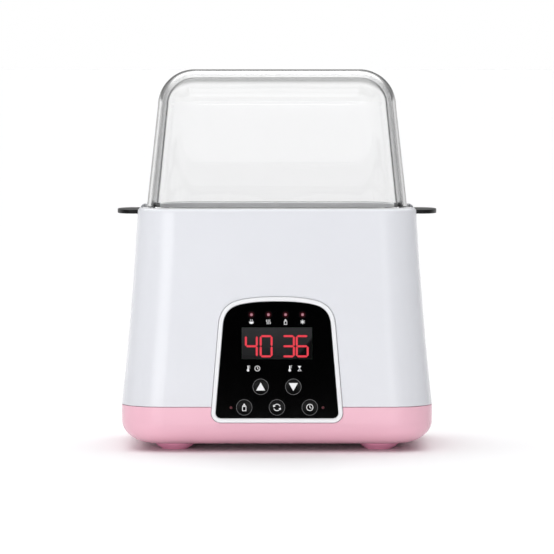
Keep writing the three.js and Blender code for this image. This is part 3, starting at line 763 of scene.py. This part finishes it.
def lift_basket():
    def plate(name, plan, top):
        return loft(name, [ring(plan, top - BASKET_PLATE), ring(plan, top)])

    def post(x, y):
        low, high = BASKET_FLOOR_Z - 1, BASKET_TOP_Z - BASKET_PLATE + 1
        return block("post", x - 3.5, x + 3.5, y - 2.5, y + 2.5, low, high)

    right, left = ear(), ear()
    left.data.transform(Matrix.Rotation(math.pi, 4, "Z"))
    posts = [post(x, y) for x, y in BASKET_POSTS]
    wells = [cylinder("well", WELL_R, 120, 160, x, steps=96) for x in (-WELL_X, WELL_X)]
    drains = [cylinder("drain", DRAIN_R, 50, 65, x, steps=72) for x in (-WELL_X, WELL_X)]
    basket = plate("lift_basket_frame", BASKET_TOP_PLAN, BASKET_TOP_Z)
    floor = plate("floor", BASKET_FLOOR_PLAN, BASKET_FLOOR_Z)
    combine(basket, add=[floor, *posts, left, right], cut=wells + drains)
    finish_piece(round_edges(basket, 0.45), "basket", "basket_black", "lift_basket")


def clear_cover():
    """Thin-walled dome with a slightly rounded foot. Light reaches what is inside it without a shadow."""
    foot = RIM_Z + GAP

    def skin(inset):
        wall = [(inset, z) for z in spread(foot + 0.5, SHOULDER_Z - 3, 10)]
        return wall + [(inset + x, z) for x, z in rounding(COVER_FILLET - inset, SHOULDER_Z, 0, 90, 18)]

    profile = skin(COVER_WALL)[::-1] + [(COVER_WALL - 0.5, foot), (0.5, foot)] + skin(0)
    cover = loft("clear_cover_dome", rings_of(cover_plan, profile))
    cover.visible_shadow = False
    finish_piece(flat_normals(cover), "cover", "cover_clear", "clear_cover")


# ---------------------------------------------------------------- control panel


def panel_bezel():
    """Frame with a rounded outer and inner edge, and a rebate behind for the lens."""
    edge = 0.7
    outer = [(0, -8)] + rounding(edge, BEZEL_FRONT - edge, 0, 90)
    inner = [(BEZEL_WIDTH - x, z) for x, z in rounding(edge, BEZEL_FRONT - edge, 90, 0)]
    shelf = LENS_BACK - GAP
    rebate = [(BEZEL_WIDTH, shelf), (3.6, shelf), (3.6, -3), (1.6, -3), (1.6, -8)]
    rings = [panel_ring(inset, z) for inset, z in outer + inner + rebate]
    bezel = loft("panel_bezel_frame", rings, closed=True, place=PANEL)
    finish_piece(flat_normals(bezel), "housing", "trim_white", "panel_bezel")


def button_places():
    names = [name for name in sorted(frame["nodes"]) if name.startswith("button_")]
    return {name: on_panel(name) for name in names}


def lamp_places():
    """The four indicator lamps, in a row at the ends and thirds of the light guide."""
    low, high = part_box("light_guide")
    half = (high.x - low.x) / 2 / MM - LIGHT_GUIDE_MARGIN
    y = on_panel("light_guide")[1]
    return [(x, y) for x in spread(-half, half, 4)]


def panel_lens():
    """Polished black lens with a fine bevel round it, cut out for the window, the lamps and the buttons."""
    edge = BEZEL_WIDTH + 0.2
    sides = [panel_ring(edge, LENS_BACK), panel_ring(edge, LENS_FRONT - 0.2)]
    lens = loft("panel_lens_gloss", [*sides, panel_ring(edge + 0.2, LENS_FRONT)], place=PANEL)
    holes = [(BUTTON_R + GAP, at) for at in button_places().values()]
    lamps = [*lamp_places(), on_panel("status_led_left"), on_panel("status_led_right")]
    holes += [(LAMP_R + 0.15, at) for at in lamps]
    cutters = [cylinder("hole", radius, -3, 3, *at, 64, PANEL) for radius, at in holes]
    combine(lens, cut=[*cutters, window_slab("hole", 0.2, -3, 3)])
    finish_piece(flat_normals(lens), "housing", "panel_black", "panel_lens")


def window_slab(name, margin, low, high):
    """Slab over the display window's CAD node, wider by margin on each side."""
    corners = [PANEL.inverted() @ (corner / MM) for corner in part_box("display_window")]
    thick = 2 * WINDOW_FRONT
    x, y = on_panel("display_window")
    a = (corners[1].x - corners[0].x) / 2 + margin
    rise = (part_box("display_window")[1].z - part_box("display_window")[0].z) / MM
    b = (rise - thick * math.sin(PANEL_TILT)) / math.cos(PANEL_TILT) / 2 + margin
    return prism(name, [(x - a, y - b), (x + a, y - b), (x + a, y + b), (x - a, y + b)], low, high, PANEL)


def display_window():
    window = round_edges(window_slab("display_window_smoke", 0, -WINDOW_FRONT, WINDOW_FRONT), 0.15)
    finish_piece(window, "housing", "display_smoke", "display_window")


# The bars of a seven-bar figure: a is the top one, b to f go round clockwise, and g is in the middle.
BARS_OF = {"4": "bcfg", "0": "abcdef", "3": "abcdg", "6": "acdefg"}
FIGURE_WIDTH, FIGURE_HEIGHT, BAR = 8.7, 15, 1.35


def bar(p, q):
    """Outline of a bar with pointed ends from near p to near q."""
    p, q = Vector(p), Vector(q)
    along = (q - p).normalized()
    p, q = p + along * 0.12, q - along * 0.12
    tip = along * BAR / 2
    side = Vector((-tip.y, tip.x))
    return [tuple(v) for v in (p, p + tip - side, q - tip - side, q, q - tip + side, p + tip + side)]


def figure(name, digit, x, y):
    """One lit figure on the display, with its middle at (x, y) on the panel."""
    right, top = (FIGURE_WIDTH - BAR) / 2, (FIGURE_HEIGHT - BAR) / 2
    corners = {
        "a": ((-right, top), (right, top)),
        "b": ((right, 0), (right, top)),
        "c": ((right, -top), (right, 0)),
        "d": ((-right, -top), (right, -top)),
        "e": ((-right, -top), (-right, 0)),
        "f": ((-right, 0), (-right, top)),
        "g": ((-right, 0), (right, 0)),
    }
    low = WINDOW_FRONT - 0.02
    bars = [prism(key, bar(*corners[key]), low, low + INK, at_panel(x, y)) for key in BARS_OF[digit]]
    return finish_piece(merge(name, bars), "housing", "display_lit")


def display_figures():
    """The set temperature and the present one, a little below the middle of the window."""
    x, y = on_panel("display_window")
    drop = 2
    columns = {
        "set_tens": ("4", -17.3),
        "set_units": ("0", -7.3),
        "now_tens": ("3", 7.7),
        "now_units": ("6", 17),
    }
    figures = [figure(f"figure_{name}", digit, x + at, y - drop) for name, (digit, at) in columns.items()]
    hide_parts("display_module")


def lamp(name, x, y, *stands_for, material=None):
    """Domed tip of a lamp in its hole in the lens."""
    profile = [(0, -2), (LAMP_R, -2)] + arc((0, LENS_FRONT), (LAMP_R, 0.35), 0, 90, 6)
    tip = revolve(name, profile, 32, at_panel(x, y))
    finish_piece(tip, "housing", "lamp_red", *stands_for, material=material)
    return tip


def lamp_halo(name, x, y):
    """The part of the lens that a lamp lights up round itself, with its own origin at the lamp."""
    inner, outer = LAMP_R + 0.2, GLOW_R
    section = [(inner, 0), (outer, 0), (outer, 0.02), (inner, 0.02)]
    halo = turned_ring(name, section, 48)
    place = at_panel(x, y, LENS_FRONT + 0.005)
    turn = place.to_quaternion().to_matrix().to_4x4()
    halo.matrix_world = Matrix.Translation(place.translation * MM) @ turn
    finish_piece(halo, "housing", "lamp_red", material=LAMP_GLOW)


def lamps():
    for i, (x, y) in enumerate(lamp_places(), 1):
        stands_for = ["light_guide"] if i == 1 else []
        lamp(f"indicator_lamp_{i}", x, y, *stands_for)
        lamp_halo(f"indicator_glow_{i}", x, y)
    for side in ("left", "right"):
        node = f"status_led_{side}"
        lamp(f"status_lamp_{side}", *on_panel(node), node, material=DIM_LAMP)


# ---------------------------------------------------------------- printed marks


def line(points, width=PEN, level=0.0, closed=False):
    """A printed line of even width along 2D points, at a level above the print's own plane."""
    left, right = (offset_points(points, side * width / 2, closed) for side in (1, -1))
    if not closed:
        return prism("line", right + left[::-1], level, level + INK)
    loops = [(right, level), (right, level + INK), (left, level + INK), (left, level)]
    return loft("line", [[(x, y, z) for x, y in loop] for loop, z in loops], closed=True)


def filled(outline, level=0.0):
    return prism("filled", outline, level, level + INK)


def round_line(radius, centre=(0, 0), steps=32):
    return arc(centre, radius, 0, 360, steps)[:-1]


def draw_bowl():
    steam = [[(x - 0.1, 0.8), (x + 0.15, 1.3), (x - 0.1, 1.85)] for x in (-0.6, 0.6)]
    return [filled(arc((0, 0.2), (1.7, 1.8), 180, 360, 14)), *[line(curl) for curl in steam]]


def draw_steam():
    def wave(x):
        return [(x + 0.32 * math.sin(t * 2 * math.pi), 3.4 * t - 1.7) for t in spread(0, 1, 13)]

    return [line(wave(x)) for x in (-1.2, 0, 1.2)]


def draw_bottle():
    body = [(-0.95, -1.8), (0.95, -1.8), (0.95, 0.5), (-0.95, 0.5)]
    collar = [(-0.95, 0.85), (0.95, 0.85), (0.8, 1.2), (-0.8, 1.2)]
    teat = [(-0.5, 1.3), (0.5, 1.3), (0.22, 1.95), (-0.22, 1.95)]
    return [line(body, closed=True), filled(collar), filled(teat)]


def draw_snowflake():
    arms = []
    for i in range(3):
        x, y = arc((0, 0), 1.8, 60 * i + 30, 60 * i + 30, 1)[0]
        arms.append(line([(-x, -y), (x, y)], PEN * 0.85, i * 0.004))
    return [*arms, line(round_line(0.9), PEN * 0.7, 0.012, closed=True)]


def draw_thermometer():
    ticks = [line([(0.75, y), (1.4, y)], 0.26) for y in (0.4, 1.1, 1.8)]
    return [line([(0, -0.6), (0, 1.9)], 0.75), filled(round_line(0.85, (0, -1.2)), 0.004), *ticks]


def draw_clock():
    return [line(round_line(1.7), closed=True), line([(0, 1.1), (0, 0), (0.8, -0.5)])]


def draw_hourglass():
    sand = filled([(0, 0.05), (1.2, 1.7), (-1.2, 1.7)])
    return [sand, line([(-1.1, -1.6), (1.1, -1.6), (0, -0.1)], PEN * 0.85, closed=True)]


def draw_cycle():
    """Two arrows that chase each other round a circle."""
    parts = []
    for start in (20, 200):
        parts.append(line(arc((0, 0), 1.75, start, start + 125, 14), PEN * 1.1))
        end = Vector(arc((0, 0), 1.75, start + 125, start + 125, 1)[0])
        across, ahead = end.normalized() * 0.8, Vector((-end.y, end.x)).normalized() * 1.15
        parts.append(filled([tuple(end - across), tuple(end + across), tuple(end + ahead)], 0.004))
    return parts


def draw_up_arrow():
    return [filled([(-3.05, -2.5), (3.05, -2.5), (0, 2.8)])]


def draw_down_arrow():
    return [filled([(3.05, 2.5), (-3.05, 2.5), (0, -2.8)])]


def mark(name, draw, x, y, size=1.0, body="housing", level=LENS_FRONT):
    """A printed symbol, its middle at (x, y) on the panel and its size a multiple of 3.6 mm."""
    symbol = merge(name, draw())
    metres = Matrix.Diagonal((MM, MM, MM, 1))
    scaled = at_panel(x, y, level) @ Matrix.Diagonal((size, size, 1, 1))
    symbol.data.transform(metres @ scaled @ metres.inverted())
    finish_piece(symbol, body, "print_grey")


def panel_marks():
    for draw, (x, y) in zip((draw_bowl, draw_steam, draw_bottle, draw_snowflake), lamp_places()):
        mark(draw.__name__.replace("draw", "mark"), draw, x, y - 4.9, 0.92)
    y = on_panel("display_window")[1] - 17
    mark("mark_set_temperature", draw_thermometer, -19.5, y)
    mark("mark_set_time", draw_clock, -13.2, y)
    mark("mark_now_temperature", draw_thermometer, 8.6, y)
    mark("mark_time_left", draw_hourglass, 15.2, y)


SYMBOLS = {
    "button_up": (draw_up_arrow, 1.0),
    "button_down": (draw_down_arrow, 1.0),
    "button_warm": (draw_bottle, 1.25),
    "button_function": (draw_cycle, 1.25),
    "button_timer": (draw_clock, 1.25),
}


def buttons():
    """Round caps with a thin dim grey ring near the edge and a shallow dish that holds the symbol."""
    shelf, edge = LENS_BACK - GAP, 0.3
    ring_r, dish_r = BUTTON_R - 0.55, BUTTON_R - 1
    cap = [(0, -4.7), (2, -4.7), (2, -2.3), (BUTTON_R + 0.7, -2.3), (BUTTON_R + 0.7, shelf)]
    cap += [(BUTTON_R, shelf)] + arc((BUTTON_R - edge, BUTTON_FRONT - edge), edge, 0, 90, 5)
    cap += [(dish_r, BUTTON_FRONT), (dish_r - 0.5, BUTTON_FRONT - BUTTON_DISH)]
    cap += [(0, BUTTON_FRONT - BUTTON_DISH)]
    section = [(ring_r, 0), (ring_r + 0.2, 0), (ring_r + 0.2, INK), (ring_r, INK)]
    for name, (x, y) in button_places().items():
        body = name.replace("button", "key")
        finish_piece(revolve(f"{name}_cap", cap, 72, at_panel(x, y)), body, "button_black", name)
        # a thin dim grey ring on the cap's face, just inside its rounded edge
        printed = turned_ring(f"{name}_ring", section, 72, at_panel(x, y, BUTTON_FRONT))
        finish_piece(printed, body, "print_grey", material=DIM_RING_GREY)
        draw, size = SYMBOLS[name]
        mark(f"{name}_mark", draw, x, y, size, body, BUTTON_FRONT - BUTTON_DISH)


# ---------------------------------------------------------------- stage, light and camera

FLOOR_HALF = 40
CAMERA_DISTANCE = 3.0043
CAMERA_ELEVATION = math.radians(3.1)
CAMERA_AIM = Vector((0, 0, 0.1147))
FIELD_WIDTH = 0.3823  # width of the view at the middle of the object


def stage():
    half = FLOOR_HALF / MM
    corners = [(-half, -half, 0), (half, -half, 0), (half, half, 0), (-half, half, 0)]
    floor = add_object("floor", corners, [(0, 1, 2, 3)])
    floor.data.materials.append(Finish("floor_pale", (0.92, 0.92, 0.925), 0.6).material)


def world():
    """A light tent that the camera sees as plain white.

    It is brightest above, dim at both sides and in front, and black where the panel would mirror it. A raised
    band behind is dim too, which draws the cover's top edge.
    """
    made = bpy.data.worlds.new("light_tent")
    bpy.context.scene.world = made
    made.use_nodes = True
    graph = Graph(made.node_tree)
    graph.tree.nodes.clear()
    direction = graph.add("TexCoord").outputs["Generated"]
    x, y, z = graph.axes(direction)
    above = graph.remap(z, 0.1, 0.6, TENT_LOW, TENT_TOP, smooth=True)
    front = graph.remap(y, -0.1, -0.6, 1, FRONT_TENT, smooth=True)
    left = graph.remap(x, -0.55, -0.95, 1, SIDE_TENT, smooth=True)
    right = graph.remap(x, 0.35, 0.9, 1, SIDE_TENT, smooth=True)
    flag_middle = (0, -math.cos(2 * PANEL_TILT), math.sin(2 * PANEL_TILT))
    facing = graph.add("VectorMath", {"operation": "DOT_PRODUCT"})
    graph.feed(facing.inputs[0], direction)
    graph.feed(facing.inputs[1], flag_middle)
    flag = graph.remap(facing.outputs["Value"], FLAG_OUTER, FLAG_INNER, 1, 0, smooth=True)
    behind = graph.remap(y, 0.3, 0.8, 0, 1, smooth=True)
    raised = graph.math("MULTIPLY", graph.remap(z, 0.06, 0.12, 0, 1), graph.remap(z, 0.4, 0.55, 1, 0))
    band = graph.remap(graph.math("MULTIPLY", behind, raised), 0, 1, 1, BACK_BAND)
    strength = above
    for factor in (front, left, right, flag, band):
        strength = graph.math("MULTIPLY", strength, factor)
    tent = graph.add("Background", Strength=strength)
    tent.inputs["Color"].default_value = (1, 1, 1, 1)
    backdrop = graph.add("Background", Color=(1, 1, 1, 1), Strength=1.0)
    seen = graph.add("LightPath").outputs["Is Camera Ray"]
    choose, output = graph.add("MixShader"), graph.add("OutputWorld")
    graph.feed(choose.inputs[0], seen)
    graph.feed(choose.inputs[1], tent.outputs[0])
    graph.feed(choose.inputs[2], backdrop.outputs[0])
    graph.feed(output.inputs["Surface"], choose.outputs[0])


def area_light(name, place, target, width, height, power):
    light = bpy.data.lights.new(name, "AREA")
    light.shape = "RECTANGLE"
    light.size, light.size_y = width, height
    light.energy = power
    obj = bpy.data.objects.new(name, light)
    obj.location = place
    obj.rotation_euler = (Vector(target) - Vector(place)).to_track_quat("-Z", "Y").to_euler()
    obj.visible_camera = False
    bpy.context.scene.collection.objects.link(obj)
    return obj


def spare(light, obj):
    """Keep a light's mirror image off one object."""
    spared = bpy.data.collections.new(light.name + "_spares")
    spared.objects.link(obj)
    spared.collection_objects[0].light_linking.link_state = "EXCLUDE"
    light.light_linking.receiver_collection = spared


def lights():
    """A broad soft box that draws the highlight down the left corners, a fainter one on the right, a soft box
    above the front, and a low one that lights the feet."""
    middle = (0, 0, 0.14)
    left = area_light("box_left", (-0.68, -1.42, 0.29), middle, 0.9, 0.56, 4.2)
    right = area_light("box_right", (0.44, -1.5, 0.29), middle, 0.5, 0.56, 1.1)
    for light in (left, right):
        spare(light, bpy.data.objects["clear_cover_dome"])
    area_light("soft_box", (-0.3, -1.3, 1.6), middle, 1.0, 1.0, 3.2)
    area_light("low_fill", (0, -1.2, 0.05), (0, 0, 0.03), 1.6, 0.08, 2.3)


def camera():
    data = bpy.data.cameras.new("camera")
    data.sensor_width = 36
    data.lens = data.sensor_width * CAMERA_DISTANCE / FIELD_WIDTH
    data.clip_end = 3 * FLOOR_HALF
    obj = bpy.data.objects.new("camera", data)
    back = Vector((0, -math.cos(CAMERA_ELEVATION), math.sin(CAMERA_ELEVATION)))
    obj.location = CAMERA_AIM + back * CAMERA_DISTANCE
    obj.rotation_euler = (-back).to_track_quat("-Z", "Y").to_euler()
    bpy.context.scene.collection.objects.link(obj)
    bpy.context.scene.camera = obj


# ---------------------------------------------------------------- the whole object

paint_frame()
upper_housing()
base_tray()
feet()
cord_gland()
water_tank()
heating_plate()
lift_basket()
clear_cover()
panel_bezel()
panel_lens()
display_window()
display_figures()
lamps()
panel_marks()
buttons()

stage()
world()
lights()
camera()
bpy.context.scene.view_settings.view_transform = "Standard"
